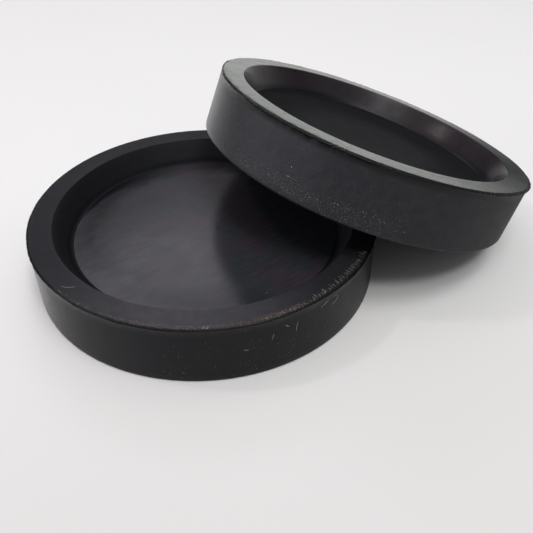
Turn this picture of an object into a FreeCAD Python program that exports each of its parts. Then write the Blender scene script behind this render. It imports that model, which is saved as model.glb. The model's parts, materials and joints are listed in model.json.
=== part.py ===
import FreeCAD, Part
import math
import os

# A pair of rubber vacuum discs, the flat classroom form of the Magdeburg hemispheres.
# Both discs come out of one mould. Pressed together rim to rim, with the air squeezed
# out of the two recesses, they hold each other. Here they lie as put down on a table:
# one flat with its recess up, the other leaning on its rim, recess up as well.
# Millimetres. The origin is the middle of the lower disc's underside, +Z is up, and
# the second disc leans down towards +X.

# Sizes of one disc
base_radius = 37.4
wall_draft = 0.3
floor_thickness = 8.05
recess_depth = 5.25
rim_face_width = 4.7
recess_flare = 2.95

# The thin lip that the mould leaves round the rim, and the rolled edge above it
lip_reach = 0.4
lip_edge_height = 0.15
lip_drop = 0.25
lip_root_height = 0.3
rolled_edge_width = 0.6

# Small bevels that soften the edges of the section
base_edge_bevel = 0.4
recess_edge_bevel = 0.12
recess_foot_bevel = 0.3

# How the second disc leans on the first
lean_angle = 19.8
contact_gap = 0.1

# Radii and heights that follow from the sizes above
disc_height = floor_thickness + recess_depth
wall_top_radius = base_radius - wall_draft
lip_radius = wall_top_radius + lip_reach
rim_face_outer_radius = lip_radius - rolled_edge_width
recess_mouth_radius = rim_face_outer_radius - rim_face_width
recess_floor_radius = recess_mouth_radius - recess_flare
lip_top_height = disc_height - lip_drop
lip_bottom_height = lip_top_height - lip_edge_height
wall_top_height = lip_bottom_height - lip_root_height


def bevelled_corner(before, corner, after, bevel):
    """Return the two ends of the bevel that cuts off one corner, one bevel away from it."""
    towards_before = (before - corner).normalize()
    towards_after = (after - corner).normalize()
    return [corner + towards_before * bevel, corner + towards_after * bevel]


def section_outline():
    """Return the points of half the disc's section, from the axis out, up and back in."""
    corners = [
        (0.0, 0.0, 0.0),
        (base_radius, 0.0, base_edge_bevel),
        (wall_top_radius, wall_top_height, 0.0),
        (lip_radius, lip_bottom_height, 0.0),
        (lip_radius, lip_top_height, 0.0),
        (rim_face_outer_radius, disc_height, 0.0),
        (recess_mouth_radius, disc_height, recess_edge_bevel),
        (recess_floor_radius, floor_thickness, recess_foot_bevel),
        (0.0, floor_thickness, 0.0),
    ]
    points = [FreeCAD.Vector(radius, 0.0, height) for radius, height, _ in corners]
    outline = []
    for index, (_, _, bevel) in enumerate(corners):
        if bevel > 0.0:
            before = points[index - 1]
            after = points[index + 1]
            outline += bevelled_corner(before, points[index], after, bevel)
        else:
            outline.append(points[index])
    return outline


def vacuum_disc():
    """Return one disc, lying flat on z = 0 with its recess up."""
    outline = section_outline()
    section = Part.Face(Part.makePolygon(outline + outline[:1]))
    origin = FreeCAD.Vector(0.0, 0.0, 0.0)
    axis = FreeCAD.Vector(0.0, 0.0, 1.0)
    return section.revolve(origin, axis, 360.0)


def leaning_placement():
    """Return where the second disc lies: edge on the table, underside on the lower rim.

    The underside is a plane that falls towards +X at the lean angle. The section's
    lowest point, once it is tilted, touches the table, and that gives the height of the
    underside's middle. The plane passes one contact gap above the place of the lower
    disc's rim that reaches furthest along the plane's normal, and that gives how far
    out the middle lies.
    """
    lean = math.radians(lean_angle)
    fall = math.sin(lean)
    stand = math.cos(lean)
    outline = section_outline()
    middle_height = max(fall * point.x - stand * point.z for point in outline)
    rim_reach = max(fall * point.x + stand * point.z for point in outline)
    middle_out = (rim_reach + contact_gap - stand * middle_height) / fall
    place = FreeCAD.Vector(middle_out, 0.0, middle_height)
    tilt = FreeCAD.Rotation(FreeCAD.Vector(0.0, 1.0, 0.0), lean_angle)
    return FreeCAD.Placement(place, tilt)


def lower_disc():
    """Return the disc that lies flat on the table."""
    return vacuum_disc()


def leaning_disc():
    """Return the disc that leans on the lower one."""
    disc = vacuum_disc()
    disc.Placement = leaning_placement()
    return disc


def main():
    """Write each disc to its own file."""
    os.makedirs("parts", exist_ok=True)
    nodes = {
        "lower_disc": lower_disc(),
        "leaning_disc": leaning_disc(),
    }
    for name, shape in nodes.items():
        shape.exportStep(f"parts/{name}.step")
        print(name, "volume", round(shape.Volume, 1), "closed and valid", shape.isValid())


main()
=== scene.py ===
"""Looks of a pair of rubber vacuum discs, the flat classroom form of the Magdeburg hemispheres.

One disc lies flat with its recess up and the other leans on its rim. Both come out of one
mould: a drafted wall, a thin ragged moulding lip under a rolled edge, a flat sealing face
and a shallow recess with slanted walls. Dust, lint and the burrs of a trimming knife lie on
them. Lengths are millimetres in the disc's own frame until a mesh is made, in metres.
"""

import json
import logging
import math
from dataclasses import dataclass
from enum import Enum
from functools import reduce

import bpy
import numpy as np
from mathutils import Matrix, Vector


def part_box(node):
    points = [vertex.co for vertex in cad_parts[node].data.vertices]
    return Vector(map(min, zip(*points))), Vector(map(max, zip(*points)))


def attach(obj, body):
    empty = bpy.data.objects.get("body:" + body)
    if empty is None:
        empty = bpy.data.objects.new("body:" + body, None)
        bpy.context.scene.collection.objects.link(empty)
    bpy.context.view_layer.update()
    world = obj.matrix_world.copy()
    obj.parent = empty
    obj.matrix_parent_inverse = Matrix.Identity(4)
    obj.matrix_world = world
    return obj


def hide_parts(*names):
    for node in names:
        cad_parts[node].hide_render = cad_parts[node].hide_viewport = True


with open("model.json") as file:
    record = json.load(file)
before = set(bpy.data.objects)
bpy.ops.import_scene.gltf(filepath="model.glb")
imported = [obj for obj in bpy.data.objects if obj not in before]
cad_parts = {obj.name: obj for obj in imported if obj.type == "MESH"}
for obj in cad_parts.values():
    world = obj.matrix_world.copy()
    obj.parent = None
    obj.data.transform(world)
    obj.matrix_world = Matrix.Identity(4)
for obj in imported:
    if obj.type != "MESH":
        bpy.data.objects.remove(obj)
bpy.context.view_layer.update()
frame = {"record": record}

MM = 0.001
FULL_TURN = 2.0 * math.pi
HAIR = 0.01
PLACE, TONE, REDNESS = "disc_place", "grain_tone", "redness"
LOG = logging.getLogger("vacuum_discs")

Array = np.ndarray
Socket = bpy.types.NodeSocket
Material = bpy.types.Material
Pair = tuple[float, float]
Triple = tuple[float, float, float]


class Zone(Enum):
    """The faces of a disc that differ in finish, by the name of their mesh attribute."""

    BASE = "underside"
    WALL = "outer_wall"
    LIP = "moulding_lip"
    ROLL = "rolled_edge"
    RIM = "sealing_face"
    SLANT = "recess_wall"
    FOOT = "recess_foot"
    FLOOR = "recess_floor"


class Face(Enum):
    """Where a dust grain or fibre lies on a disc."""

    WALL = "wall"
    RIM = "rim"
    FLOOR = "floor"


class GrainTone(Enum):
    """The kinds of dust grain, by their place on the grain material's colour ramp."""

    RUST = 0.05
    TAN = 0.3
    GREENISH = 0.55
    GREY = 0.75
    WHITE = 0.95


def smooth_step(values: Array, low: float, high: float) -> Array:
    """Ease values from 0 at low to 1 at high, by 3 t squared less 2 t cubed."""
    share = np.clip((values - low) / (high - low), 0.0, 1.0)
    return share * share * (3.0 - 2.0 * share)


def ragged_line(azimuths: Array, knots: int, seed: int) -> Array:
    """Work out a random line round the disc that closes on itself.

    Random heights stand at evenly spaced knots, and the line runs between them with
    eased steps, so it is rough but has no jumps.

    Args:
        azimuths: Angles round the axis, in radians.
        knots: How many random heights there are in a full turn.
        seed: Seed of the random heights.

    Returns:
        Values from 0 to 1, one for each azimuth.
    """
    heights = np.random.default_rng(seed).random(knots)
    place = (azimuths / FULL_TURN) % 1.0 * knots
    before = np.floor(place).astype(int) % knots
    share = smooth_step(place - np.floor(place), 0.0, 1.0)
    return heights[before] * (1.0 - share) + heights[(before + 1) % knots] * share


def wavy_line(azimuths: Array, waves: int, seed: int) -> Array:
    """Work out a gentle line round the disc: sines of 1 to so many waves a turn, added up.

    Each sine has a random phase and a height of one over its count of waves.

    Args:
        azimuths: Angles round the axis, in radians.
        waves: The most waves in a full turn.
        seed: Seed of the phases.

    Returns:
        Values of about -1 to 1, one for each azimuth.
    """
    counts = np.arange(1, waves + 1)
    phases = np.random.default_rng(seed).uniform(0.0, FULL_TURN, waves)
    sines = np.sin(azimuths[:, None] * counts + phases) / counts
    return sines.sum(axis=1) / np.sqrt((1.0 / counts**2).sum())


def outward(azimuths: Array) -> Array:
    """Return the level direction away from the axis at each azimuth, one row each."""
    return np.stack([np.cos(azimuths), np.sin(azimuths), np.zeros_like(azimuths)], axis=-1)


def ring_quads(rings: int, around: int) -> Array:
    """List the four-cornered faces between closed rings of points.

    Args:
        rings: How many rings there are.
        around: How many points each has.

    Returns:
        Rows of four point numbers: on along one ring, and back along the next.
    """
    here = np.arange(around)
    there = (here + 1) % around
    lower = np.arange(rings - 1)[:, None] * around
    upper = lower + around
    return np.stack([lower + here, lower + there, upper + there, upper + here], axis=-1).reshape(-1, 4)


def add_piece(
    name: str, points: Array, faces: list[Array], material: Material, values: dict[str, Array]
) -> bpy.types.Object:
    """Make a smooth shaded object of points and faces, at the origin.

    Args:
        name: Name of the piece and its mesh.
        points: Points in metres, one row each.
        faces: Arrays of point numbers, one row for each face; each array has its own
            number of corners.
        material: Its material.
        values: What the mesh keeps for each point, by name: a number or a row of three.

    Returns:
        The new object.
    """
    mesh = bpy.data.meshes.new(name)
    corners = np.concatenate([block.ravel() for block in faces])
    counts = np.concatenate([np.full(len(block), block.shape[1]) for block in faces])
    starts = np.concatenate([[0], np.cumsum(counts)[:-1]])
    mesh.vertices.add(len(points))
    mesh.vertices.foreach_set("co", points.astype(np.float32).ravel())
    mesh.loops.add(len(corners))
    mesh.loops.foreach_set("vertex_index", corners.astype(np.int32))
    mesh.polygons.add(len(counts))
    mesh.polygons.foreach_set("loop_start", starts.astype(np.int32))
    mesh.polygons.foreach_set("use_smooth", np.ones(len(counts), bool))
    mesh.update(calc_edges=True)
    mesh.validate()
    for key, rows in values.items():
        kind, field = ("FLOAT", "value") if rows.ndim == 1 else ("FLOAT_VECTOR", "vector")
        mesh.attributes.new(key, kind, "POINT").data.foreach_set(field, rows.astype(np.float32).ravel())
    piece = bpy.data.objects.new(name, mesh)
    bpy.context.scene.collection.objects.link(piece)
    mesh.materials.append(material)
    return piece


@dataclass(frozen=True)
class DiscPose:
    """Where a disc lies: the middle of its underside and its three directions."""

    middle: Array
    downhill: Array
    sideways: Array
    normal: Array

    def place(self, points: Array) -> Array:
        """Move points in millimetres to the shared frame in metres: middle plus turned point."""
        turned = points @ np.stack([self.downhill, self.sideways, self.normal])
        return (turned + self.middle) * MM


@dataclass(frozen=True)
class Stretch:
    """One stretch of the section: its points in order, without the last, and its zone."""

    radii: Array
    heights: Array
    zone: Zone


def straight(start: Pair, end: Pair, steps: int, zone: Zone) -> Stretch:
    """Divide a straight stretch of the section evenly into so many points, its end left out."""
    shares = np.arange(steps) / steps
    return Stretch(start[0] + (end[0] - start[0]) * shares, start[1] + (end[1] - start[1]) * shares, zone)


def rounding(before: Pair, corner: Pair, after: Pair, radius: float, steps: int, zone: Zone) -> Stretch:
    """Round one corner of the section by an arc that touches both its sides.

    The arc begins a distance of radius over the tangent of half the corner's angle
    before the corner. Its centre lies on the line that halves the angle, and the points
    divide the arc evenly.

    Args:
        before: A point on the side that comes in.
        corner: The corner.
        after: A point on the side that goes out.
        radius: Radius of the arc.
        steps: How many points it has, its end left out.
        zone: The zone it belongs to.

    Returns:
        The stretch.
    """
    tip = np.array(corner)
    back = (np.array(before) - tip) / np.linalg.norm(np.array(before) - tip)
    ahead = (np.array(after) - tip) / np.linalg.norm(np.array(after) - tip)
    half_angle = math.acos(float(back @ ahead)) / 2.0
    middle = (back + ahead) / np.linalg.norm(back + ahead)
    centre = tip + middle * radius / math.sin(half_angle)
    first = tip + back * radius / math.tan(half_angle) - centre
    last = tip + ahead * radius / math.tan(half_angle) - centre
    start_angle = math.atan2(first[1], first[0])
    turn = math.atan2(first[0] * last[1] - first[1] * last[0], float(first @ last))
    angles = start_angle + turn * np.arange(steps) / steps
    return Stretch(centre[0] + radius * np.cos(angles), centre[1] + radius * np.sin(angles), zone)


@dataclass(frozen=True)
class DiscSection:
    """Sizes of the disc's section, in millimetres.

    An inset is how far past a corner the next straight stretch begins. The fan radius is
    that of the innermost ring, and the flat edge is how far inside the underside's edge
    a ring keeps its shading flat.
    """

    lip_radius: float
    height: float
    base_radius: float = 37.4
    wall_draft: float = 0.3
    base_round: float = 0.48
    lip_reach: float = 0.4
    lip_edge: float = 0.15
    lip_drop: float = 0.25
    lip_root: float = 0.3
    roll_width: float = 0.6
    roll_round: float = 0.5
    rim_width: float = 4.7
    recess_depth: float = 5.25
    recess_flare: float = 2.95
    recess_edge_round: float = 0.2
    foot_round: float = 0.9
    rim_inset: float = 0.2
    slant_inset: Pair = (0.12, 0.21)
    floor_inset: float = 0.55
    fan_radius: float = 0.8
    flat_edge: float = 0.3

    @property
    def wall_top_radius(self) -> float:
        """Radius of the wall where the lip begins."""
        return self.base_radius - self.wall_draft

    @property
    def lip_bottom(self) -> float:
        """Height of the lip's lower corner."""
        return self.height - self.lip_drop - self.lip_edge

    @property
    def wall_top(self) -> float:
        """Height of the wall where the lip begins."""
        return self.lip_bottom - self.lip_root

    @property
    def rim_outer(self) -> float:
        """Outer radius of the flat sealing face."""
        return self.lip_radius - self.roll_width

    @property
    def floor_height(self) -> float:
        """Height of the recess floor above the underside."""
        return self.height - self.recess_depth

    def stretches(self) -> list[Stretch]:
        """List the section's stretches, from the underside's middle round to the floor's.

        Returns:
            The stretches in order.
        """
        wall_top = (self.wall_top_radius, self.wall_top)
        lip_bottom = (self.lip_radius, self.lip_bottom)
        lip_top = (self.lip_radius, self.height - self.lip_drop)
        rim_outer = (self.rim_outer, self.height)
        mouth_radius = self.rim_outer - self.rim_width
        foot_radius = mouth_radius - self.recess_flare
        mouth, foot = (mouth_radius, self.height), (foot_radius, self.floor_height)
        inner = (self.fan_radius, self.floor_height)
        base_arc = rounding((0.0, 0.0), (self.base_radius, 0.0), wall_top, self.base_round, 5, Zone.WALL)
        roll_arc = rounding(lip_top, rim_outer, mouth, self.roll_round, 3, Zone.ROLL)
        mouth_arc = rounding(rim_outer, mouth, foot, self.recess_edge_round, 4, Zone.RIM)
        foot_arc = rounding(mouth, foot, inner, self.foot_round, 8, Zone.FOOT)
        base_flat = (base_arc.radii[0] - self.flat_edge, 0.0)
        rim_start = (self.rim_outer - self.rim_inset, self.height)
        slant_start = (mouth_radius - self.slant_inset[0], self.height - self.slant_inset[1])
        return [
            straight((self.fan_radius, 0.0), base_flat, 8, Zone.BASE),
            straight(base_flat, (base_arc.radii[0], 0.0), 2, Zone.BASE),
            base_arc,
            straight((self.base_radius - HAIR, self.base_round), wall_top, 10, Zone.WALL),
            straight(wall_top, lip_bottom, 3, Zone.LIP),
            straight(lip_bottom, lip_top, 2, Zone.LIP),
            straight(lip_top, (roll_arc.radii[0], roll_arc.heights[0]), 4, Zone.ROLL),
            roll_arc,
            straight(rim_start, (mouth_arc.radii[0], self.height), 6, Zone.RIM),
            mouth_arc,
            straight(slant_start, (foot_arc.radii[0], foot_arc.heights[0]), 4, Zone.SLANT),
            foot_arc,
            straight((foot_radius - self.floor_inset, self.floor_height), inner, 8, Zone.FLOOR),
        ]


@dataclass(frozen=True)
class Patch:
    """A share that is strongest at one azimuth and eases to none a half width away, in degrees."""

    azimuth: float
    half_width: float
    share: float = 1.0

    def at(self, azimuths: Array) -> Array:
        """Return the share at each azimuth, given in radians, by an eased step on the angle apart."""
        apart = np.abs((np.degrees(azimuths) - self.azimuth + 180.0) % 360.0 - 180.0)
        return self.share * (1.0 - smooth_step(apart, 0.0, self.half_width))


@dataclass(frozen=True)
class RimWear:
    """How one disc's lip and skin have worn: what differs between two discs of one mould.

    The lip is torn off in the bare patch and stands proud in the proud one. The film of
    dust is a ground share and full in the filmed patch. The rubbed patch is painted shade:
    the film is thinned away there and the skin is duller.
    The hazed patch is a dull part of the recess wall, the gritty one is low on the outer
    wall, and the polished one is a smooth part of the outer wall.
    """

    seed: int
    lip_share: float
    lip_roughness: float
    edge_nibble: float
    bare: Patch
    proud: Patch
    # Painted shade: the patch where the film is thinned
    rubbed: Patch
    film_ground: float
    filmed: Patch
    hazed: Patch
    gritty: Patch
    polished: Patch

    # Knots of the ragged lines, fine and coarse, and how strong these are in the lip
    LIP_KNOTS, NIBBLE_KNOTS, FINE_PART, COARSE_PART = (420, 60), (500, 90), 0.6, 0.8
    # Waves of wall and rim, and how far they dip; where the underside ends and grit begins
    WALL_WAVES, RIM_WAVES, DIP = 9, 7, 0.03
    UNDERSIDE, GRIT_FROM, GRIT_SHARE = 0.05, 0.5, 0.6

    def lip_strength(self, azimuths: Array) -> Array:
        """Work out how much of the lip is left round the disc, from 0 to 1.

        It is the lip's share plus fine and coarse raggedness, less where the lip is
        torn off and more where it stands proud.

        Args:
            azimuths: Angles round the axis, in radians.

        Returns:
            The shares.
        """
        fine = ragged_line(azimuths, self.LIP_KNOTS[0], self.seed) - 0.5
        coarse = ragged_line(azimuths, self.LIP_KNOTS[1], self.seed + 1) - 0.5
        share = self.lip_share + self.lip_roughness * (self.FINE_PART * fine + self.COARSE_PART * coarse)
        share = (share + self.proud.at(azimuths)) * (1.0 - self.bare.at(azimuths))
        return np.clip(share, 0.0, 1.0)

    def nibbles(self, azimuths: Array) -> Array:
        """Return how deep the edge is nibbled, by a fine ragged line times a coarse one."""
        lines = [ragged_line(azimuths, knots, self.seed + 2 + i) for i, knots in enumerate(self.NIBBLE_KNOTS)]
        return self.edge_nibble * (lines[0] * lines[1])

    def dips(self, azimuths: Array, waves: int, step: int) -> Array:
        """Return how far a face dips round the disc, by a wavy line, in millimetres."""
        wave = self.DIP * (1.0 + wavy_line(azimuths, waves, self.seed + step)) / 2.0
        return np.clip(wave, 0.0, 2.0 * self.DIP)

    def skin(self, azimuths: Array, heights: Array, disc_height: float) -> dict[str, Array]:
        """Work out how worn and dusty the skin is, round the disc and up its section.

        The film is a ground share plus its patch, less in the rubbed patch, where the loss
        is painted shade. The grit fades out from the underside to a little over half the
        wall's height. The underside itself is evenly dull.

        Args:
            azimuths: Angles round the axis, in radians.
            heights: Height of each point of the section, in millimetres.
            disc_height: Height of the disc.

        Returns:
            For each name of a mesh attribute, a grid of shares from 0 to 1.
        """
        above = (heights > self.UNDERSIDE).astype(float)
        # Less film in the rubbed patch paints shade there
        unshaded_share = 1.0 - self.rubbed.at(azimuths)
        film = (self.film_ground + (1.0 - self.film_ground) * self.filmed.at(azimuths)) * unshaded_share
        low = 1.0 - smooth_step(heights, self.GRIT_FROM, self.GRIT_SHARE * disc_height)
        return {
            "unshaded_share": np.outer(above, unshaded_share),
            "bloom_and_painted_shade": np.outer(above, film),
            "haze": np.outer(above, self.hazed.at(azimuths)),
            "polish": np.outer(above, self.polished.at(azimuths)),
            "grit": np.outer(low, self.gritty.at(azimuths)),
        }


@dataclass(frozen=True)
class RubberFinish:
    """Colours and gloss of one disc's rubber."""

    name: str
    seed: float
    body: Triple
    rim_film: Triple
    recess_film: Triple
    rim_film_share: float
    wall_film_share: float
    floor_film_share: float
    wall_roughness: float
    rim_roughness: float
    recess_roughness: float
    floor_roughness: float
    foot_roughness: float
    ring_radii: Pair
    ring_roughness: float = 0.17
    torn_share: float = 0.8
    specular: float = 0.2


@dataclass(frozen=True)
class DustPatch:
    """A patch of grains on one face, between two azimuths and two distances across it.

    Across is the height above the underside on the wall, and the radius on the rim and
    the floor. Crowding is the share of grains that gather towards the patch's middle.
    """

    face: Face
    azimuths: Pair
    across: Pair
    count: int
    size: Pair
    tones: tuple[GrainTone, ...]
    seed: int
    crowding: float = 0.0


@dataclass(frozen=True)
class Fibre:
    """One fibre of lint: where it starts on a face, its heading, length and bends.

    The heading is measured from the direction of growing azimuth, in degrees. The
    fibre turns by bend over its length, and by curl more towards its end.
    """

    face: Face
    azimuth: float
    across: float
    heading: float
    length: float
    bend: float
    curl: float = 0.0
    thickness: float = 0.05
    redness: float = 0.0


@dataclass(frozen=True)
class TrimMarks:
    """A row of small radial burrs at the rim's outer edge, left by the trimming knife."""

    azimuths: Pair
    pitch: float
    length: Pair
    width: float
    seed: int


class NodeBench:
    """Adds and joins the nodes of a material or of the world."""

    def __init__(self, owner: bpy.types.ID) -> None:
        """Start the nodes of a material or a world."""
        owner.use_nodes = True
        self.owner, self.tree = owner, owner.node_tree

    def feed(self, socket: Socket, source: object) -> None:
        """Join a socket to an output socket, or set it to a constant.

        Args:
            socket: The input socket.
            source: An output socket, or a value.
        """
        if isinstance(source, Socket):
            self.tree.links.new(source, socket)
        elif isinstance(source, tuple) and socket.type == "RGBA" and len(source) == 3:
            socket.default_value = (*source, 1.0)
        else:
            socket.default_value = source

    def add(self, kind: str, inputs: dict, output: str | int = 0, **settings: object) -> Socket:
        """Add a node.

        Args:
            kind: The node's type.
            inputs: Output sockets or values, by the number or name of the input.
            output: Number or name of the output that is wanted.
            **settings: The node's properties by name.

        Returns:
            The output.
        """
        node = self.tree.nodes.new(kind)
        for key, value in settings.items():
            setattr(node, key, value)
        for key, source in inputs.items():
            self.feed(node.inputs[key], source)
        return node.outputs[output]

    def attribute(self, name: str) -> Socket:
        """Return the number that the mesh keeps under a name."""
        return self.add("ShaderNodeAttribute", {}, "Fac", attribute_name=name)

    def place(self) -> Socket:
        """Return the place on the disc in millimetres, as the mesh keeps it."""
        return self.add("ShaderNodeAttribute", {}, "Vector", attribute_name=PLACE)

    def math(self, operation: str, first: object, second: object) -> Socket:
        """Work out one operation of two numbers or sockets."""
        return self.add("ShaderNodeMath", {0: first, 1: second}, operation=operation)

    def times(self, *factors: object) -> Socket:
        """Multiply numbers or sockets, from the first to the last."""
        return reduce(lambda first, second: self.math("MULTIPLY", first, second), factors)

    def vector(self, operation: str, first: object, second: Triple = (0.0, 0.0, 0.0)) -> Socket:
        """Work out one operation of two vectors that gives a number."""
        return self.add("ShaderNodeVectorMath", {0: first, 1: second}, "Value", operation=operation)

    def mapped(
        self, place: object, scale: Triple = (1.0, 1.0, 1.0), turn: float = 0.0, shift: float = 0.0
    ) -> Socket:
        """Turn a pattern about the disc's axis, by degrees, and then stretch and shift it."""
        turned = self.add("ShaderNodeMapping", {0: place, "Rotation": (0.0, 0.0, math.radians(-turn))})
        return self.add("ShaderNodeMapping", {0: turned, "Scale": scale, "Location": (shift, shift, shift)})

    def noise(self, place: object, scale: float, detail: float = 2.0, roughness: float = 0.5) -> Socket:
        """Make a noise of about 0.3 to 0.7: waves a millimetre, detail and the detail's strength."""
        inputs = {"Vector": place, "Scale": scale, "Detail": detail, "Roughness": roughness}
        return self.add("ShaderNodeTexNoise", inputs)

    def specks(self, place: object, scale: float, size: float) -> Socket:
        """Scatter round specks, so many cells a millimetre, each of a share of its cell."""
        away = self.add("ShaderNodeTexVoronoi", {"Vector": place, "Scale": scale}, "Distance", feature="F1")
        return self.ease(away, size, size * 0.4)

    def ease(self, value: object, low: float, high: float) -> Socket:
        """Ease a value from 0 at low to 1 at high."""
        inputs = {"Value": value, "From Min": low, "From Max": high}
        return self.add("ShaderNodeMapRange", inputs, "Result", interpolation_type="SMOOTHSTEP")

    def span(self, value: object, low: float, high: float) -> Socket:
        """Spread a noise of about 0.3 to 0.7 over a range of values, and keep it within."""
        inputs = {"Value": value, "From Min": 0.3, "From Max": 0.7, "To Min": low, "To Max": high}
        return self.add("ShaderNodeMapRange", inputs, "Result")

    def mix(self, share: object, first: object, second: object) -> Socket:
        """Mix two colours, by the share of the second."""
        return self.add("ShaderNodeMix", {0: share, 6: first, 7: second}, 2, data_type="RGBA")

    def blend(self, share: object, first: object, second: object) -> Socket:
        """Mix two numbers, by the share of the second."""
        return self.add("ShaderNodeMix", {0: share, 2: first, 3: second}, data_type="FLOAT")

    def relief(self, height: object, depth: float, **below: object) -> Socket:
        """Raise a height of 1 by a depth in millimetres, over the Normal of a coarser relief."""
        return self.add("ShaderNodeBump", {"Distance": depth * MM, "Height": height, **below})

    def paint(self, sources: dict[str, object]) -> bpy.types.ID:
        """Feed the Principled shader's sockets.

        Args:
            sources: An output socket or a value for each socket, by name.

        Returns:
            The material.
        """
        shader = self.tree.nodes["Principled BSDF"]
        for name, source in sources.items():
            self.feed(shader.inputs[name], source)
        return self.owner


class RubberDresser:
    """Makes the black moulded rubber of one disc."""

    WALL_DUST = (0.093, 0.089, 0.106)
    TORN_SKIN = (0.004, 0.004, 0.004)
    FINE_DUST = (0.20, 0.175, 0.15)
    FLOOR_ROSE = (0.046, 0.038, 0.047)
    FLOOR_GREEN = (0.036, 0.042, 0.046)
    # Roughness of dusty skin, and that of the polished patch as a share of the wall's
    DULL, POLISHED = 0.7, 0.5
    # How light the body's clouds are, and how thick fine dust lies by cloud and by grit
    LIGHTER, CLOUD_DUST, GRIT_DUST = 1.6, 0.35, 0.6
    # The way a cloth rubbed the floor, in degrees; where along X the film thickens out of painted shade at
    # -X, and how thick it is at both ends
    STREAK_TURN, DUSTY_SIDE, DUSTY_GAIN = 10.0, (-22.0, 6.0), (0.45, 1.75)
    # Patterns of gloss, streaks and relief are moved apart, and the gloss varies by so much
    GLOSS_SHIFT, STREAK_SHIFT, RELIEF_SHIFT = 40.0, 7.0, 80.0
    GLOSS_CLOUD, GLOSS_STREAK = 0.03, 0.02
    # Depths of the slow unevenness and of the pebbled skin, in millimetres
    UNEVEN, PEBBLED = 0.015, 0.003

    def __init__(self, finish: RubberFinish) -> None:
        """Keep the finish and start its material."""
        self.finish = finish
        self.bench = NodeBench(bpy.data.materials.new(finish.name))

    def pattern(self, shift: float = 0.0) -> Socket:
        """Return the place on the disc, shifted by the finish's seed and more."""
        return self.bench.mapped(self.bench.place(), shift=self.finish.seed + shift)

    def colour(self) -> Socket:
        """Make the colour: clouded dark body, films of dust by zone, torn lip and specks.

        Returns:
            The colour.
        """
        bench, finish = self.bench, self.finish
        place = self.pattern()
        mottle = bench.noise(place, 0.6, 4.0, 0.6)
        lighter = tuple(channel * self.LIGHTER for channel in finish.body)
        dressed = bench.mix(bench.span(bench.noise(place, 0.07, 3.0), 0.1, 0.9), finish.body, lighter)
        dressed = self.floor_colour(place, dressed)
        wall = bench.attribute(Zone.WALL.value)
        rim_share, wall_share = finish.rim_film_share, finish.wall_film_share
        # The rim's film is thinned in the rubbed patch, which paints shade there
        film = bench.times(bench.attribute(Zone.RIM.value), bench.attribute("bloom_and_painted_shade"))
        film = bench.times(film, bench.span(mottle, 0.75 * rim_share, 1.1 * rim_share))
        recess = bench.times(bench.attribute(Zone.SLANT.value), bench.span(mottle, 0.75, 1.0))
        wall_film = bench.span(mottle, 0.7 * wall_share, 1.2 * wall_share)
        # The wall's film is thinned there too: painted shade
        wall_film = bench.times(wall_film, bench.attribute("unshaded_share"), wall)
        torn = bench.times(bench.attribute(Zone.LIP.value), finish.torn_share)
        specks = bench.math("MAXIMUM", bench.specks(place, 1.7, 0.13), bench.specks(place, 3.4, 0.2))
        thick = bench.times(bench.ease(bench.noise(place, 0.25), 0.5, 0.66), self.CLOUD_DUST)
        thick = bench.math("ADD", thick, bench.times(bench.attribute("grit"), self.GRIT_DUST))
        coats = (
            (film, finish.rim_film),
            (recess, finish.recess_film),
            (wall_film, self.WALL_DUST),
            (torn, self.TORN_SKIN),
            (bench.times(specks, thick, wall), self.FINE_DUST),
        )
        for share, coat in coats:
            dressed = bench.mix(share, dressed, coat)
        return dressed

    def floor_colour(self, place: Socket, body: Socket) -> Socket:
        """Lay the recess floor's thin film over the body: faint tints, rubbed streaks and painted shade.

        Args:
            place: The place on the disc.
            body: The rubber's own colour.

        Returns:
            The colour with the film on it.
        """
        bench = self.bench
        tint = bench.mix(bench.ease(bench.noise(place, 0.11), 0.38, 0.62), self.FLOOR_ROSE, self.FLOOR_GREEN)
        streaked = bench.mapped(bench.place(), (0.2, 1.6, 1.0), self.STREAK_TURN, self.finish.seed)
        streaks = bench.span(bench.noise(streaked, 1.0, 4.0, 0.65), 0.75, 1.2)
        # Painted shade beside the recess wall: the film thins towards -X and is left off the outer ring on
        # that side
        along = bench.add("ShaderNodeSeparateXYZ", {0: bench.place()}, "X")
        dusty = bench.ease(along, *self.DUSTY_SIDE)
        painted_shade_ring = bench.times(self.foot_ring(), bench.math("SUBTRACT", 1.0, dusty))
        share = bench.times(streaks, bench.blend(dusty, *self.DUSTY_GAIN), bench.attribute(Zone.FLOOR.value))
        share = bench.times(share, bench.math("SUBTRACT", 1.0, painted_shade_ring), self.finish.floor_film_share)
        return bench.mix(share, body, tint)

    def foot_ring(self) -> Socket:
        """Return the share of the floor's outer ring by the recess foot, where the floor colour paints shade
        on the -X side and the roughness differs.
        """
        flat = self.bench.mapped(self.bench.place(), (1.0, 1.0, 0.0))
        return self.bench.ease(self.bench.vector("LENGTH", flat), *self.finish.ring_radii)

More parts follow.
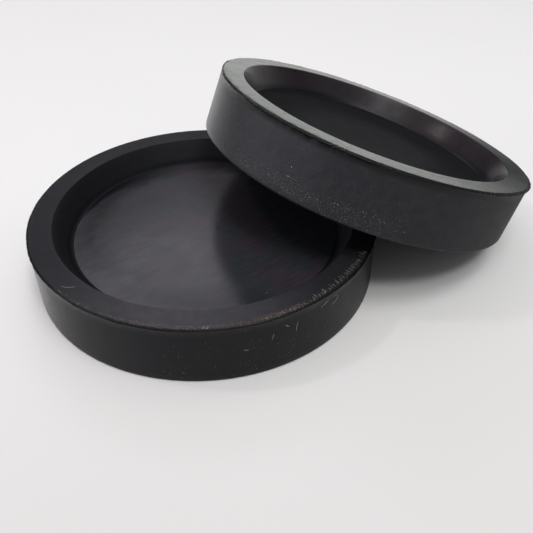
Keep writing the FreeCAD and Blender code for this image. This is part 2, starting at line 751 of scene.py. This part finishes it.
    def roughness(self) -> Socket:
        """Make the roughness: one value for each zone, clouded and streaked.

        Returns:
            The roughness.
        """
        bench, finish = self.bench, self.finish
        polished = self.POLISHED * finish.wall_roughness
        base = bench.blend(bench.attribute("polish"), finish.wall_roughness, polished)
        base = bench.blend(bench.attribute("unshaded_share"), self.DULL, base)
        zones = (
            (Zone.RIM, bench.blend(bench.attribute("unshaded_share"), self.DULL, finish.rim_roughness)),
            (Zone.SLANT, bench.blend(bench.attribute("haze"), finish.recess_roughness, self.DULL)),
            (Zone.FOOT, finish.foot_roughness),
            (Zone.FLOOR, bench.blend(self.foot_ring(), finish.floor_roughness, finish.ring_roughness)),
        )
        for zone, value in zones:
            base = bench.blend(bench.attribute(zone.value), base, value)
        cloud = bench.noise(self.pattern(self.GLOSS_SHIFT), 0.15, 4.0, 0.6)
        rubbed = bench.mapped(bench.place(), (0.15, 1.2, 1.0), self.STREAK_TURN, self.STREAK_SHIFT)
        streak = bench.noise(rubbed, 1.0, 3.0, 0.6)
        base = bench.math("ADD", base, bench.span(cloud, -self.GLOSS_CLOUD, self.GLOSS_CLOUD))
        return bench.math("ADD", base, bench.span(streak, -self.GLOSS_STREAK, self.GLOSS_STREAK))

    def make(self) -> Material:
        """Join colour, roughness and a pebbled relief over slow unevenness to the shader.

        Returns:
            The material.
        """
        bench = self.bench
        place = self.pattern(self.RELIEF_SHIFT)
        slow = bench.relief(bench.noise(place, 0.35), self.UNEVEN)
        return bench.paint({
            "Base Color": self.colour(),
            "Roughness": self.roughness(),
            "Normal": bench.relief(bench.noise(place, 5.0, 3.0, 0.6), self.PEBBLED, Normal=slow),
            "Specular IOR Level": self.finish.specular,
        })


def grain_material() -> Material:
    """Make the dust and burrs: rust, tan, greenish, grey and white by the grain's tone.

    Returns:
        The material.
    """
    stops = ((0.0, (0.26, 0.11, 0.05)), (0.15, (0.26, 0.17, 0.10)), (0.4, (0.25, 0.21, 0.145)),
             (0.6, (0.17, 0.19, 0.145)), (0.8, (0.27, 0.27, 0.27)), (1.0, (0.75, 0.75, 0.72)))
    bench = NodeBench(bpy.data.materials.new("dust_grain"))
    colour = bench.add("ShaderNodeValToRGB", {0: bench.attribute(TONE)})
    elements = colour.node.color_ramp.elements
    while len(elements) < len(stops):
        elements.new(0.5)
    for element, (position, shade) in zip(elements, stops):
        element.position = position
        element.color = (*shade, 1.0)
    spots = bench.noise(bench.place(), 12.0)
    spotted = bench.mix(bench.span(spots, 0.0, 0.5), colour, (0.06, 0.05, 0.04))
    return bench.paint({"Base Color": spotted, "Roughness": bench.span(spots, 0.7, 0.95)})


def lint_material() -> Material:
    """Make the lint: pale cotton fibre, uneven along its length, and red where it is dyed.

    Returns:
        The material.
    """
    shade, light, red = (0.26, 0.25, 0.25), (0.52, 0.51, 0.51), (0.22, 0.07, 0.05)
    bench = NodeBench(bpy.data.materials.new("cotton_lint"))
    uneven = bench.noise(bench.place(), 2.5, 3.0)
    cotton = bench.mix(bench.span(uneven, 0.0, 1.0), shade, light)
    fibre = bench.mix(bench.attribute(REDNESS), cotton, red)
    return bench.paint({"Base Color": fibre, "Roughness": bench.span(uneven, 0.55, 0.8)})


@dataclass(frozen=True)
class VacuumDisc:
    """One rubber disc with what lies on it."""

    node: str
    body: str
    section: DiscSection
    pose: DiscPose
    materials: dict[str, Material]
    wear: RimWear
    finish: RubberFinish
    dust: tuple[DustPatch, ...]
    fibres: tuple[Fibre, ...]
    trim: tuple[TrimMarks, ...] = ()

    # Points in a ring of the disc, and how deep what lies on the skin is sunk into it
    AROUND, SUNK = 1440, 0.015
    # Grains: a crowd's spread, the least length, the lift and the tone's spread
    CROWD, FLATTEST, LIFT, TONE_SPREAD = 0.2, 0.35, 0.12, 0.03
    # Fibres: points along and round, lift at the ends and arch, in thicknesses, and blunt ends
    FIBRE_STEPS, FIBRE_SIDES, FIBRE_LIFT, FIBRE_ARCH = 22, 5, 0.6, 1.5
    FIBRE_END, FIBRE_CUT, FIBRE_TAPER = 0.35, 0.04, 0.4
    # Burrs: jitter in pitches, the share kept, spreads of width, skew, overhang and tone
    BURR_JITTER, BURRS_KEPT, BURR_WIDTHS, BURR_SKEW = 0.3, 0.95, (0.6, 1.4), 0.15
    BURR_OVERHANG, BURR_TONES = (0.05, 0.2), (0.35, 0.62)
    # Burrs: depth below the rim, the outer end's drop, and the ridge with its two ends
    BURR_DEPTH, BURR_DROP, BURR_RIDGE, RIDGE_ENDS = 0.025, 0.06, 0.05, (0.2, 0.75)

    def add(
        self, ending: str, points: Array, faces: list[Array], material: Material, values: dict[str, Array]
    ) -> bpy.types.Object:
        """Add a piece named after this disc, of points in its frame, which it keeps as places."""
        placed = self.pose.place(points)
        return add_piece(f"{self.node}_{ending}", placed, faces, material, {**values, PLACE: points})

    def rubber_piece(self) -> bpy.types.Object:
        """Turn the section about the axis, wear its edge and put the disc in place.

        A point of the grid lies at radius times the cosine and sine of its azimuth. The
        lip's reach is cut back by its strength, the rolled edge is nibbled, and faces
        rise and fall by a few hundredths of a millimetre. Fans close both middles.

        Returns:
            The disc.
        """
        s, wear, around = self.section, self.wear, self.AROUND
        parts = s.stretches()
        radii = np.concatenate([part.radii for part in parts])
        heights = np.concatenate([part.heights for part in parts])
        is_zone = {
            zone: np.concatenate([np.full(len(part.radii), float(part.zone is zone)) for part in parts])
            for zone in Zone
        }
        azimuths = np.arange(around) * FULL_TURN / around
        reach = np.clip((radii - s.wall_top_radius) / s.lip_reach, 0.0, 1.0) * (heights > s.wall_top)
        radius = radii[:, None] - s.lip_reach * np.outer(reach, 1.0 - wear.lip_strength(azimuths))
        radius = radius - np.outer(is_zone[Zone.WALL], wear.dips(azimuths, wear.WALL_WAVES, 4))
        edge = is_zone[Zone.ROLL] + is_zone[Zone.LIP] * (heights > s.lip_bottom - HAIR)
        height = heights[:, None] - np.outer(edge, wear.nibbles(azimuths))
        height = height - np.outer(is_zone[Zone.RIM], wear.dips(azimuths, wear.RIM_WAVES, 5))
        grid = np.stack([radius * np.cos(azimuths), radius * np.sin(azimuths), height], axis=-1)
        points = np.concatenate([grid.reshape(-1, 3), [[0.0, 0.0, 0.0], [0.0, 0.0, s.floor_height]]])
        values = {}
        for zone, share in is_zone.items():
            middles = [float(zone is Zone.BASE), float(zone is Zone.FLOOR)]
            values[zone.value] = np.concatenate([np.repeat(share, around), middles])
        for name, shares in wear.skin(azimuths, heights, s.height).items():
            values[name] = np.concatenate([shares.ravel(), [0.0, 0.0]])
        here = np.arange(around)
        there = (here + 1) % around
        last = (len(radii) - 1) * around
        middle = np.full(around, last + around)
        base_fan = np.stack([middle, there, here], axis=-1)
        floor_fan = np.stack([last + here, last + there, middle + 1], axis=-1)
        faces = [ring_quads(len(radii), around), np.concatenate([base_fan, floor_fan])]
        return self.add("rubber", points, faces, RubberDresser(self.finish).make(), values)

    def on_face(self, face: Face, azimuth: Array, across: Array) -> tuple[Array, Array]:
        """Find places on a face of the disc and the outward directions there.

        Args:
            face: The face.
            azimuth: Angles round the axis, in radians.
            across: Height on the wall, or radius on the rim and floor.

        Returns:
            The places and the directions, one row each.
        """
        s = self.section
        out = outward(azimuth)
        up = np.zeros_like(out)
        up[..., 2] = 1.0
        if face is Face.WALL:
            radius = s.base_radius - s.wall_draft * across / s.wall_top - self.SUNK
            return out * radius[..., None] + up * across[..., None], out
        level = s.height - self.SUNK if face is Face.RIM else s.floor_height
        return out * across[..., None] + up * level, up

    def dust_piece(self) -> bpy.types.Object:
        """Scatter grains over the dust patches and make them one piece.

        Each grain is an eight-sided crumb: six points along random axes of random
        lengths, about a middle that is lifted a little off the face.

        Returns:
            The piece.
        """
        shapes, tones = [], []
        for patch in self.dust:
            rng = np.random.default_rng(patch.seed)
            spread = rng.random((2, patch.count))
            crowded = rng.normal(0.5, self.CROWD, (2, patch.count)).clip(0.0, 1.0)
            shares = np.where(rng.random(patch.count) < patch.crowding, crowded, spread)
            azimuth = np.radians(patch.azimuths[0] + (patch.azimuths[1] - patch.azimuths[0]) * shares[0])
            across = patch.across[0] + (patch.across[1] - patch.across[0]) * shares[1]
            places, normals = self.on_face(patch.face, azimuth, across)
            low, high = patch.size
            sizes = low + (high - low) * rng.random(patch.count) ** 2
            axes, _ = np.linalg.qr(rng.normal(size=(patch.count, 3, 3)))
            axes = axes * np.sign(np.linalg.det(axes))[:, None, None]
            lengths = sizes[:, None] * rng.uniform(self.FLATTEST, 1.0, (patch.count, 3))
            arms = axes * lengths[:, :, None] * 0.5
            middles = places + normals * (sizes * self.LIFT)[:, None]
            shapes.append(np.concatenate([middles[:, None] + arms, middles[:, None] - arms], axis=1))
            kinds = rng.choice(np.array([tone.value for tone in patch.tones]), patch.count)
            tones.append(np.repeat(kinds + rng.normal(0, self.TONE_SPREAD, patch.count), 6))
        crumbs = np.concatenate(shapes)
        upper = [[0, 1, 2], [1, 3, 2], [3, 4, 2], [4, 0, 2]]
        lower = [[1, 0, 5], [3, 1, 5], [4, 3, 5], [0, 4, 5]]
        faces = (np.arange(len(crumbs))[:, None, None] * 6 + np.array(upper + lower)).reshape(-1, 3)
        values = {TONE: np.concatenate(tones)}
        return self.add("dust", crumbs.reshape(-1, 3), [faces], self.materials["grain"], values)

    def fibre_tube(self, fibre: Fibre) -> Array:
        """Lay one fibre on its face as a thin tube with five sides.

        The heading turns evenly by the bend, and by the curl with the square of the way
        along. Steps of that heading add up to a path on the face, laid out flat, which
        is then put back on the face. The tube's rings are circles across the path that
        shrink at both ends.

        Args:
            fibre: The fibre.

        Returns:
            The rings of points: steps, sides, three.
        """
        way = np.linspace(0.0, 1.0, self.FIBRE_STEPS)
        heading = np.radians(fibre.heading + fibre.bend * way + fibre.curl * way**2)
        stride = fibre.length / (self.FIBRE_STEPS - 1)
        along, up_face = (
            np.concatenate([[0.0], np.cumsum(step(heading[:-1]))]) * stride for step in (np.cos, np.sin)
        )
        ring_radius = self.section.base_radius if fibre.face is Face.WALL else fibre.across
        azimuth = math.radians(fibre.azimuth) + along / ring_radius
        places, normals = self.on_face(fibre.face, azimuth, fibre.across + up_face)
        arch = self.FIBRE_LIFT + self.FIBRE_ARCH * np.sin(np.pi * way)
        places = places + normals * (fibre.thickness * arch)[:, None]
        forward = np.gradient(places, axis=0)
        forward = forward / np.linalg.norm(forward, axis=1)[:, None]
        side = np.cross(forward, normals)
        side = side / np.linalg.norm(side, axis=1)[:, None]
        above = np.cross(side, forward)
        turn = np.arange(self.FIBRE_SIDES)[:, None] * FULL_TURN / self.FIBRE_SIDES
        blunt = np.sin(np.pi * np.clip(way, self.FIBRE_CUT, 1.0 - self.FIBRE_CUT)) ** self.FIBRE_TAPER
        radius = fibre.thickness * 0.5 * (self.FIBRE_END + (1.0 - self.FIBRE_END) * blunt)
        ring = side[:, None] * np.cos(turn) + above[:, None] * np.sin(turn)
        return places[:, None] + ring * radius[:, None, None]

    def lint_piece(self) -> bpy.types.Object:
        """Make all fibres on this disc one piece, each a tube closed by flat ends.

        Returns:
            The piece.
        """
        tubes = np.stack([self.fibre_tube(fibre) for fibre in self.fibres])
        count, steps, sides, _ = tubes.shape
        here = np.arange(sides)
        start = np.arange(count)[:, None] * steps * sides
        quads = (start[:, None] + ring_quads(steps, sides)).reshape(-1, 4)
        ends = np.concatenate([start + here[::-1], start + (steps - 1) * sides + here])
        values = {REDNESS: np.repeat([fibre.redness for fibre in self.fibres], steps * sides)}
        return self.add("lint", tubes.reshape(-1, 3), [quads, ends], self.materials["lint"], values)

    def trim_piece(self) -> bpy.types.Object:
        """Make the knife's burrs: slivers with a ridge, laid across the rim's outer edge.

        Each sliver is a low roof: two ends and a ridge of two points, radial, with a
        random length, skew and place near the pitch.

        Returns:
            The piece.
        """
        s = self.section
        blocks, tones = [], []
        top = s.height - self.BURR_DEPTH
        rise = np.array([0.0, 0.0, self.BURR_RIDGE])
        for row in self.trim:
            rng = np.random.default_rng(row.seed)
            step = math.degrees(row.pitch / s.rim_outer)
            azimuth = np.arange(row.azimuths[0], row.azimuths[1], step)
            jitter = rng.uniform(-self.BURR_JITTER, self.BURR_JITTER, len(azimuth))
            azimuth = np.radians(azimuth + jitter * step)
            azimuth = azimuth[rng.random(len(azimuth)) < self.BURRS_KEPT]
            count = len(azimuth)
            length = rng.uniform(*row.length, count)
            width = row.width * rng.uniform(*self.BURR_WIDTHS, count)
            skew = rng.normal(0.0, self.BURR_SKEW, count)
            outer = s.rim_outer + rng.uniform(*self.BURR_OVERHANG, count)
            out = outward(azimuth)
            side = np.stack([-out[:, 1], out[:, 0], out[:, 2]], axis=-1)
            lean = side * (skew * length)[:, None]
            start = out * outer[:, None] + np.array([0.0, 0.0, top - self.BURR_DROP])
            end = out * (outer - length)[:, None] + lean + np.array([0.0, 0.0, top])
            half = side * (width / 2.0)[:, None]
            foot = [start - half, start + half, end + half * 0.5, end - half * 0.5]
            ridge = [start * (1.0 - way) + end * way + rise for way in self.RIDGE_ENDS]
            blocks.append(np.stack(foot + ridge, axis=1))
            tones.append(np.repeat(rng.uniform(*self.BURR_TONES, count), 6))
        slivers = np.concatenate(blocks)
        quad = np.array([[0, 3, 5, 4], [1, 4, 5, 2], [0, 1, 2, 3]])
        triangle = np.array([[0, 4, 1], [3, 2, 5]])
        first = np.arange(len(slivers))[:, None, None] * 6
        faces = [(first + quad).reshape(-1, 4), (first + triangle).reshape(-1, 3)]
        values = {TONE: np.concatenate(tones)}
        return self.add("trim_burrs", slivers.reshape(-1, 3), faces, self.materials["grain"], values)

    def assemble(self) -> None:
        """Build the disc and what lies on it, riding on its body."""
        disc = self.rubber_piece()
        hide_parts(self.node)
        pieces = [disc, self.dust_piece(), self.lint_piece()]
        if self.trim:
            pieces.append(self.trim_piece())
        for piece in pieces:
            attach(piece, self.body)
            LOG.info("%s rides on %s with %d faces", piece.name, self.body, len(piece.data.polygons))


@dataclass(frozen=True)
class Lamp:
    """One soft oval lamp that points at the discs, by where it is seen from them.

    The azimuth is measured from +X towards +Y and the elevation from the table, both in
    degrees. Sizes are metres and the brightness is that of its face.
    """

    name: str
    azimuth: float
    elevation: float
    distance: float
    width: float
    height: float
    brightness: float
    colour: Triple = (1.0, 1.0, 1.0)

    TARGET = (0.02, 0.0, 0.01)

    def hang(self) -> None:
        """Hang the lamp; its power is brightness times pi times the oval's area."""
        data = bpy.data.lights.new(self.name, "AREA")
        data.shape = "ELLIPSE"
        data.size = self.width
        data.size_y = self.height
        data.color = self.colour
        data.energy = self.brightness * math.pi * math.pi * self.width * self.height / 4.0
        azimuth, elevation = math.radians(self.azimuth), math.radians(self.elevation)
        level = math.cos(elevation)
        away = Vector((math.cos(azimuth) * level, math.sin(azimuth) * level, math.sin(elevation)))
        lamp = bpy.data.objects.new(self.name, data)
        bpy.context.scene.collection.objects.link(lamp)
        lamp.location = Vector(self.TARGET) + away * self.distance
        lamp.rotation_mode = "QUATERNION"
        lamp.rotation_quaternion = (-away).to_track_quat("-Z", "Y")


@dataclass(frozen=True)
class Studio:
    """The pale floor, the soft light and the camera, in metres and degrees.

    The room's light changes within bands of a direction's height, which is 0 at the
    horizon and 1 overhead, and within the side band between its front and its back.
    """

    floor_rings: Triple = (0.15, 0.6, 4.0)
    floor_around: int = 96
    # The paper's colour is painted shade: darker near the camera, to the front and left, and lighter far
    # behind
    floor_near: Triple = (0.705, 0.698, 0.688)
    floor_far: Triple = (0.842, 0.838, 0.838)
    floor_slope: Triple = (0.35, 1.0, 0.0)
    floor_fade: Pair = (-0.10, 0.055)
    floor_cloud: float = 0.015
    bright_side: Triple = (0.6, 0.8, 0.0)
    side_band: Pair = (-0.2, 0.8)
    horizon_front: float = 0.06
    sky_front: float = 0.29
    front_band: Pair = (0.2, 0.6)
    horizon_back: float = 1.35
    low_back: float = 0.12
    low_band: Pair = (0.03, 0.10)
    sky_back: float = 0.34
    back_band: Pair = (0.34, 0.5)
    zenith: float = 0.9
    zenith_band: Pair = (0.7, 0.92)
    backdrop: float = 0.86
    backdrop_band: Pair = (0.1, 0.3)
    lamps: tuple[Lamp, ...] = (
        Lamp("window_panel", 76.5, 40.0, 1.0, 0.29, 0.15, 2.1, (1.0, 0.95, 1.07)),
        Lamp("window_glow", 77.0, 42.0, 1.1, 0.44, 0.29, 1.7, (1.0, 0.95, 1.07)),
        Lamp("front_panel", 270.0, 60.0, 1.0, 0.20, 0.20, 22.0),
        Lamp("ceiling_panel", 285.0, 78.0, 1.0, 0.40, 0.40, 6.6),
        Lamp("side_window", 175.0, 11.0, 1.0, 1.30, 0.36, 2.2, (0.97, 0.97, 1.08)),
        Lamp("left_spot", 221.0, 65.0, 1.0, 0.10, 0.10, 12.0, (1.08, 0.98, 0.94)),
        Lamp("rear_spot", 141.0, 57.0, 1.0, 0.10, 0.10, 34.0, (1.08, 0.96, 0.98)),
    )
    camera_place: Triple = (-0.03607, -0.09578, 0.08121)
    look_azimuth: float = 28.2
    look_down: float = 39.89
    camera_roll: float = 0.63
    lens: float = 37.56
    sensor: float = 36.0
    sight: Pair = (0.005, 20.0)

    def floor(self) -> None:
        """Make the floor: a round sheet of pale paper, three rings about a middle, with shade painted on
        towards the front.
        """
        rings, around = len(self.floor_rings), self.floor_around
        here = np.arange(around)
        out = outward(here * FULL_TURN / around)
        points = np.concatenate([radius * out for radius in self.floor_rings] + [np.zeros((1, 3))])
        quads = ring_quads(rings, around)[:, [0, 3, 2, 1]]
        fan = np.stack([here, (here + 1) % around, np.full(around, rings * around)], axis=-1)
        bench = NodeBench(bpy.data.materials.new("pale_paper"))
        place = bench.add("ShaderNodeTexCoord", {}, "Object")
        cloud = bench.noise(place, 14.0)
        # Painted shade: the sheet darkens from far to near along the slope
        fade = bench.ease(bench.vector("DOT_PRODUCT", place, self.floor_slope), *self.floor_fade)
        sheet = bench.mix(fade, self.floor_near, self.floor_far)
        darker = bench.mix(self.floor_cloud, sheet, (0.0, 0.0, 0.0))
        paper = bench.paint({
            "Base Color": bench.mix(bench.span(cloud, 0.0, 1.0), sheet, darker),
            "Roughness": bench.span(cloud, 0.8, 0.9),
            "Specular IOR Level": 0.2,
        })
        piece = add_piece("pale_floor", points, [quads, fan], paper, {})

    def world(self) -> None:
        """Light the scene from all round: a dim room, brighter low down behind the discs.

        Its low front side is seen pale by the camera, by gloss and through glass, as the
        backdrop past the floor's edge.
        """
        world = bpy.data.worlds.new("soft_room")
        bench = NodeBench(world)
        blend = bench.blend
        direction = bench.add("ShaderNodeTexCoord", {}, "Generated")
        height = bench.add("ShaderNodeSeparateXYZ", {0: direction}, "Z")
        behind = bench.ease(bench.vector("DOT_PRODUCT", direction, self.bright_side), *self.side_band)
        front = blend(bench.ease(height, *self.front_band), self.horizon_front, self.sky_front)
        back = blend(bench.ease(height, *self.low_band), self.horizon_back, self.low_back)
        back = blend(bench.ease(height, *self.back_band), back, self.sky_back)
        strength = blend(bench.ease(height, *self.zenith_band), blend(behind, front, back), self.zenith)
        seen = bench.add("ShaderNodeLightPath", {}, "Is Camera Ray")
        rays = seen.node.outputs
        for ray in ("Is Glossy Ray", "Is Transmission Ray"):
            seen = bench.math("MAXIMUM", seen, rays[ray])
        low_front = blend(bench.ease(height, *self.backdrop_band), 1.0, 0.0)
        low_front = blend(behind, low_front, 0.0)
        seen = blend(low_front, 0.0, seen)
        background = bench.tree.nodes["Background"]
        bench.feed(background.inputs["Color"], (1.0, 1.0, 1.0))
        bench.feed(background.inputs["Strength"], blend(seen, strength, self.backdrop))
        bpy.context.scene.world = world

    def camera(self) -> None:
        """Stand the camera where the photograph was taken from."""
        azimuth, down, roll = (math.radians(x) for x in (self.look_azimuth, self.look_down, self.camera_roll))
        flat = math.cos(down)
        ahead = Vector((math.sin(azimuth) * flat, math.cos(azimuth) * flat, -math.sin(down)))
        level = Vector((math.cos(azimuth), -math.sin(azimuth), 0.0))
        above = level.cross(ahead)
        right = level * math.cos(roll) + above * math.sin(roll)
        up = above * math.cos(roll) - level * math.sin(roll)
        data = bpy.data.cameras.new("photo_camera")
        data.lens = self.lens
        data.sensor_width = self.sensor
        data.clip_start, data.clip_end = self.sight
        camera = bpy.data.objects.new("photo_camera", data)
        bpy.context.scene.collection.objects.link(camera)
        turn = Matrix((right, up, -ahead)).transposed()
        camera.matrix_world = Matrix.Translation(self.camera_place) @ turn.to_4x4()
        bpy.context.scene.camera = camera

    def build(self) -> None:
        """Set the stage: floor, light, camera and plain view settings."""
        self.floor()
        self.world()
        for lamp in self.lamps:
            lamp.hang()
        self.camera()
        bpy.context.scene.view_settings.view_transform = "Standard"


def leaning_pose(section: DiscSection) -> DiscPose:
    """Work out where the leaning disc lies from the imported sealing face.

    The face's direction is the disc's normal. Its given point lies mid-way across the
    rim on the high side, so the underside's middle is that point, one mid-rim radius
    downhill and one disc height down the normal.

    Args:
        section: The disc's sizes.

    Returns:
        The pose.
    """
    face = next(mount for mount in frame["record"]["mounts"] if mount["name"] == "sealing_face")
    normal = np.array(face["axis"])
    downhill = np.array([normal[2], 0.0, -normal[0]])
    middle_radius = section.rim_outer - section.rim_width / 2.0
    middle = np.array(face["pos_m"]) / MM + downhill * middle_radius - normal * section.height
    return DiscPose(middle, downhill, np.array([0.0, 1.0, 0.0]), normal)


def read_section() -> DiscSection:
    """Read the lip's radius and the height off the lower disc's box."""
    low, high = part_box("lower_disc")
    return DiscSection(lip_radius=(high.x - low.x) / 2.0 / MM, height=(high.z - low.z) / MM)


NOWHERE = Patch(0.0, 1.0, 0.0)
LOWER_WEAR = RimWear(
    seed=11, lip_share=0.3, lip_roughness=0.35, edge_nibble=0.03,
    bare=NOWHERE, proud=Patch(-60.0, 25.0, 0.25), rubbed=NOWHERE,
    film_ground=0.22, filmed=Patch(-122.0, 52.0), hazed=NOWHERE,
    gritty=Patch(-100.0, 60.0, 0.25), polished=Patch(175.0, 42.0),
)
LEANING_WEAR = RimWear(
    seed=29, lip_share=0.6, lip_roughness=0.9, edge_nibble=0.12,
    # The rubbed patch round azimuth -42 paints shade: the film is thinned there
    bare=Patch(154.0, 18.0), proud=Patch(-70.0, 40.0, 0.5), rubbed=Patch(-42.0, 88.0, 0.9),
    film_ground=1.0, filmed=NOWHERE, hazed=Patch(68.0, 32.0),
    gritty=Patch(-146.0, 48.0), polished=Patch(168.0, 30.0),
)

LOWER_FINISH = RubberFinish(
    name="black_rubber_lower", seed=3.0, body=(0.0012, 0.0015, 0.0030),
    rim_film=(0.098, 0.093, 0.107), recess_film=(0.0105, 0.0105, 0.013),
    rim_film_share=0.45, wall_film_share=0.0, floor_film_share=0.36,
    wall_roughness=0.42, rim_roughness=0.5, recess_roughness=0.5, floor_roughness=0.21,
    foot_roughness=0.75, ring_radii=(21.5, 26.5), torn_share=0.3,
)
LEANING_FINISH = RubberFinish(
    name="black_rubber_leaning", seed=23.0, body=(0.0018, 0.0019, 0.0030),
    rim_film=(0.29, 0.315, 0.285), recess_film=(0.019, 0.014, 0.018),
    rim_film_share=0.5, wall_film_share=0.19, floor_film_share=0.0,
    wall_roughness=0.4, rim_roughness=0.2, recess_roughness=0.28, floor_roughness=0.7,
    foot_roughness=0.4, ring_radii=(13.0, 22.0), ring_roughness=0.97,
)

WALL, RIM, FLOOR = Face
RUST, TAN, GREENISH, GREY, WHITE = GrainTone
ALL_TONES = (TAN, TAN, GREY, WHITE, GREENISH, RUST)
TAN_TONES = (TAN, TAN, RUST, GREY)
PALE_TONES = (GREY, GREY, TAN, GREENISH, WHITE)
ALL_ROUND = (-180.0, 180.0)

LOWER_DUST = (
    DustPatch(RIM, (-160.0, -134.0), (36.2, 36.95), 330, (0.05, 0.20), TAN_TONES, 101),
    DustPatch(RIM, (-134.0, -88.0), (36.1, 36.95), 1300, (0.05, 0.22), TAN_TONES, 108),
    DustPatch(RIM, (-100.0, -84.0), (35.8, 36.9), 420, (0.05, 0.20), TAN_TONES, 109),
    DustPatch(RIM, (-88.0, -52.0), (36.0, 36.95), 420, (0.04, 0.16), TAN_TONES, 110),
    DustPatch(RIM, (-160.0, -150.0), (36.3, 36.9), 14, (0.14, 0.26), PALE_TONES, 111),
    DustPatch(RIM, (-139.5, -135.0), (35.9, 36.9), 60, (0.06, 0.2), TAN_TONES, 112),
    DustPatch(RIM, (-113.8, -112.0), (36.2, 36.8), 26, (0.10, 0.24), (WHITE,), 113),
    DustPatch(RIM, (-97.2, -95.6), (36.4, 36.9), 10, (0.10, 0.22), (WHITE,), 114),
    DustPatch(RIM, (-77.2, -76.3), (36.3, 36.7), 5, (0.18, 0.26), (WHITE,), 115),
    DustPatch(RIM, (-175.0, -156.0), (32.25, 32.6), 150, (0.04, 0.13), TAN_TONES, 116),
    DustPatch(RIM, (128.0, 165.0), (36.0, 36.9), 260, (0.04, 0.17), TAN_TONES, 103),
    DustPatch(RIM, ALL_ROUND, (32.4, 36.9), 160, (0.03, 0.12), ALL_TONES, 104),
    DustPatch(WALL, ALL_ROUND, (0.6, 12.4), 420, (0.05, 0.14), ALL_TONES, 105),
    DustPatch(WALL, (-125.0, -65.0), (0.8, 12.3), 300, (0.06, 0.18), ALL_TONES, 106),
    DustPatch(FLOOR, ALL_ROUND, (2.0, 28.5), 60, (0.03, 0.1), ALL_TONES, 107),
    DustPatch(FLOOR, (-86.7, -86.1), (25.6, 26.0), 4, (0.18, 0.28), (RUST,), 117),
)
LEANING_DUST = (
    DustPatch(WALL, (-172.0, -120.0), (0.4, 4.2), 1300, (0.05, 0.17), PALE_TONES, 201, 0.3),
    DustPatch(WALL, (-176.0, -112.0), (0.6, 8.0), 900, (0.03, 0.13), ALL_TONES, 206),
    DustPatch(WALL, ALL_ROUND, (0.6, 12.4), 500, (0.03, 0.12), ALL_TONES, 202),
    DustPatch(WALL, (-151.4, -151.0), (6.1, 6.3), 2, (0.24, 0.30), (WHITE,), 207),
    DustPatch(WALL, (-151.6, -151.2), (4.2, 4.5), 2, (0.16, 0.22), (WHITE,), 208),
    DustPatch(WALL, (-136.5, -133.5), (3.1, 3.5), 5, (0.14, 0.20), (WHITE,), 209),
    DustPatch(WALL, (-116.8, -116.2), (2.1, 2.3), 2, (0.16, 0.22), (WHITE,), 210),
    DustPatch(RIM, ALL_ROUND, (32.4, 36.9), 220, (0.03, 0.12), ALL_TONES, 203),
    DustPatch(RIM, (-160.0, -60.0), (36.5, 37.0), 200, (0.04, 0.22), PALE_TONES, 204),
    DustPatch(FLOOR, ALL_ROUND, (2.0, 28.5), 60, (0.03, 0.1), ALL_TONES, 205),
)
LOWER_FIBRES = (
    Fibre(RIM, -160.3, 35.55, -8.0, 2.75, -62.0),
    Fibre(WALL, -79.2, 11.0, 20.0, 2.1, 4.0, thickness=0.045),
    Fibre(WALL, -74.6, 9.9, 14.0, 3.5, 20.0, curl=220.0, thickness=0.04),
    Fibre(WALL, -87.0, 10.3, -118.0, 2.3, 42.0),
    Fibre(WALL, -94.5, 9.4, -120.0, 1.3, 35.0),
    Fibre(WALL, -91.0, 10.7, -50.0, 0.9, 25.0, thickness=0.08),
    Fibre(WALL, -103.2, 7.3, -12.0, 0.9, 10.0),
)
LEANING_FIBRES = (Fibre(WALL, -151.4, 4.4, -8.0, 2.3, 14.0, thickness=0.035, redness=0.7),)
LOWER_TRIM = (
    TrimMarks((-93.0, -81.0), 0.62, (0.5, 1.0), 0.2, 301),
    TrimMarks((-81.0, -52.0), 0.67, (1.0, 1.8), 0.24, 302),
)


def main() -> None:
    """Build both discs and the stage."""
    logging.basicConfig(level=logging.INFO, format="%(name)s: %(message)s")
    section = read_section()
    shared = {"grain": grain_material(), "lint": lint_material()}
    flat = DiscPose(np.zeros(3), *np.eye(3))
    lower = (shared, LOWER_WEAR, LOWER_FINISH, LOWER_DUST, LOWER_FIBRES, LOWER_TRIM)
    leaning = (shared, LEANING_WEAR, LEANING_FINISH, LEANING_DUST, LEANING_FIBRES)
    VacuumDisc("lower_disc", "lower", section, flat, *lower).assemble()
    VacuumDisc("leaning_disc", "leaning", section, leaning_pose(section), *leaning).assemble()
    Studio().build()


if __name__ == "__main__":
    main()
